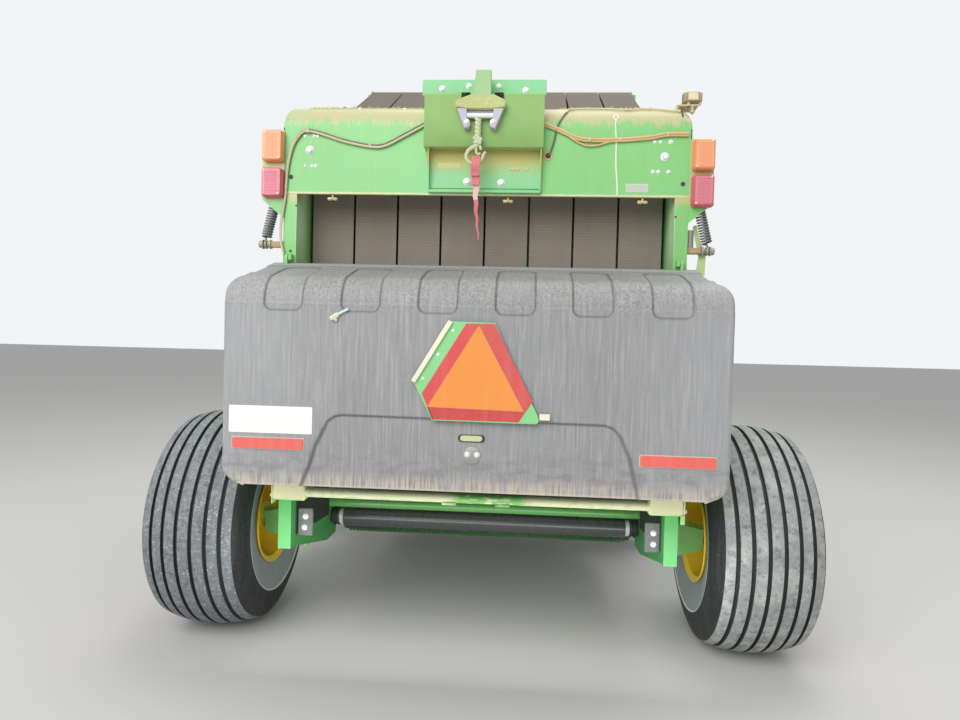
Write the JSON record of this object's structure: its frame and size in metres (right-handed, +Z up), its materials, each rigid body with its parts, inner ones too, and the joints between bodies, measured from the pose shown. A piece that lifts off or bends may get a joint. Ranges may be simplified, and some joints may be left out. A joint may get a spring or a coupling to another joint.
{
  "type": "round baler",
  "caption": "Towed round baler with belts in a variable chamber, lifting tailgate, rear net cover, tined pickup, ribbed tyres, drawbar and jack.",
  "frame": {"origin": "on the ground, under the middle of the whole length and width", "axes": "+Z up, +Y in the driving direction towards the hitch, +X to the right seen from behind"},
  "size_m": [2.868, 4.4379, 2.902],
  "materials": {
    "green_paint": "gloss enamel, dusty",
    "dark_paint": "satin enamel",
    "steel": "worn bright steel",
    "belt_rubber": "ribbed rubber, dusty",
    "tyre_rubber": "dusty tyre rubber",
    "rim_yellow": "gloss enamel",
    "cover_plastic": "moulded plastic, dusty",
    "lamp_lens": "red and amber lens plastic",
    "sign": "orange sign with a red border",
    "dusty_cream": "paint under a coat of dust",
    "cast_grey": "cast iron",
    "rope": "woven rope",
    "red_webbing": "woven webbing"
  },
  "bodies": {
    "frame": {"frame_side_left": "green_paint", "frame_side_right": "green_paint", "front_beam": "green_paint", "front_panel": "green_paint", "chamber_rollers": "steel", "belts_front": "belt_rubber", "belts_top": "belt_rubber", "axle_left": "green_paint", "axle_right": "green_paint", "drawbar_left": "green_paint", "drawbar_right": "green_paint", "hitch_clevis": "green_paint", "jack": "dark_paint", "gearbox": "green_paint", "driveshaft": "dark_paint", "driveshaft_stand": "green_paint"},
    "starter": {"starter_roll": "green_paint"},
    "gate": {"gate_side_left": "green_paint", "gate_side_right": "green_paint", "gate_hood": "green_paint", "gate_tube": "green_paint", "gate_crossbar": "dusty_cream", "gate_roller": "dark_paint", "gate_belt_rollers": "steel", "gate_belts_rear": "belt_rubber", "gate_belts_top": "belt_rubber", "lamp_plates": "green_paint", "lamps": "lamp_lens", "gate_springs": "dark_paint", "hoist_bracket": "green_paint", "hoist_head": "cast_grey", "hoist_rope": "rope", "hoist_hook": "steel", "hoist_strap": "red_webbing", "hood_cables": "rope", "work_light": "dark_paint"},
    "cover": {"net_cover": "cover_plastic", "sign_plate": "sign"},
    "wheel_left": {"tyre_left": "tyre_rubber", "rim_left": "rim_yellow"},
    "wheel_right": {"tyre_right": "tyre_rubber", "rim_right": "rim_yellow"},
    "barrel_left": {"barrel_left": "dark_paint"},
    "barrel_right": {"barrel_right": "dark_paint"},
    "rod_left": {"rod_left": "steel"},
    "rod_right": {"rod_right": "steel"},
    "door_left": {"door_left": "green_paint"},
    "door_right": {"door_right": "green_paint"},
    "pickup": {"pickup_frame": "green_paint", "pickup_bands": "dark_paint"},
    "reel": {"pickup_reel": "steel"},
    "gauge_left": {"gauge_wheel_left": "tyre_rubber"},
    "gauge_right": {"gauge_wheel_right": "tyre_rubber"},
    "guard": {"wind_guard": "green_paint"}
  },
  "joints": [
    {"name": "starter_roll_turn", "type": "hinge", "parent": "frame", "child": "starter", "pos_m": [0, -0.981, 0.4], "axis": [1, 0, 0], "continuous": true},
    {"name": "gate_lift", "type": "hinge", "parent": "frame", "child": "gate", "pos_m": [0, -0.521, 2.84], "axis": [-1, 0, 0], "range_deg": [0, 52]},
    {"name": "net_cover_lift", "type": "hinge", "parent": "gate", "child": "cover", "pos_m": [0, -1.891, 1.706], "axis": [-1, 0, 0], "range_deg": [0, 70]},
    {"name": "wheel_turn_left", "type": "hinge", "parent": "frame", "child": "wheel_left", "pos_m": [-1.205, -1.481, 0.506], "axis": [1, 0, 0], "continuous": true},
    {"name": "wheel_turn_right", "type": "hinge", "parent": "frame", "child": "wheel_right", "pos_m": [1.205, -1.481, 0.506], "axis": [1, 0, 0], "continuous": true},
    {"name": "cylinder_tilt_left", "type": "hinge", "parent": "frame", "child": "barrel_left", "pos_m": [-0.866, -0.601, 1.5], "axis": [-1, 0, 0], "range_deg": [0, 19.81]},
    {"name": "cylinder_stroke_left", "type": "slide", "parent": "barrel_left", "child": "rod_left", "axis": [0, -0.7399, 0.6727], "range_m": [0, 0.8085]},
    {"name": "cylinder_tilt_right", "type": "hinge", "parent": "frame", "child": "barrel_right", "pos_m": [0.866, -0.601, 1.5], "axis": [-1, 0, 0], "range_deg": [0, 19.81]},
    {"name": "cylinder_stroke_right", "type": "slide", "parent": "barrel_right", "child": "rod_right", "axis": [0, -0.7399, 0.6727], "range_m": [0, 0.8085]},
    {"name": "door_lift_left", "type": "hinge", "parent": "frame", "child": "door_left", "pos_m": [-0.874, -1.481, 2.428], "axis": [0, 1, 0], "range_deg": [0, 70]},
    {"name": "door_lift_right", "type": "hinge", "parent": "frame", "child": "door_right", "pos_m": [0.874, -1.481, 2.428], "axis": [0, -1, 0], "range_deg": [0, 70]},
    {"name": "pickup_lift", "type": "hinge", "parent": "frame", "child": "pickup", "pos_m": [0, -0.401, 0.64], "axis": [1, 0, 0], "range_deg": [-8, 3]},
    {"name": "reel_turn", "type": "hinge", "parent": "pickup", "child": "reel", "pos_m": [0, 0.079, 0.42], "axis": [1, 0, 0], "continuous": true},
    {"name": "gauge_wheel_turn_left", "type": "hinge", "parent": "pickup", "child": "gauge_left", "pos_m": [-1.135, 0.019, 0.28], "axis": [1, 0, 0], "continuous": true},
    {"name": "gauge_wheel_turn_right", "type": "hinge", "parent": "pickup", "child": "gauge_right", "pos_m": [1.135, 0.019, 0.28], "axis": [1, 0, 0], "continuous": true},
    {"name": "wind_guard_lift", "type": "hinge", "parent": "pickup", "child": "guard", "pos_m": [0, 0.099, 0.74], "axis": [1, 0, 0], "range_deg": [0, 15]}
  ],
  "couplings": [
    {"joint": "cylinder_tilt_left", "follows": "gate_lift", "ratio": 0.38003},
    {"joint": "cylinder_stroke_left", "follows": "gate_lift", "m_per_rad": 0.89024},
    {"joint": "cylinder_tilt_right", "follows": "gate_lift", "ratio": 0.38003},
    {"joint": "cylinder_stroke_right", "follows": "gate_lift", "m_per_rad": 0.89024}
  ]
}
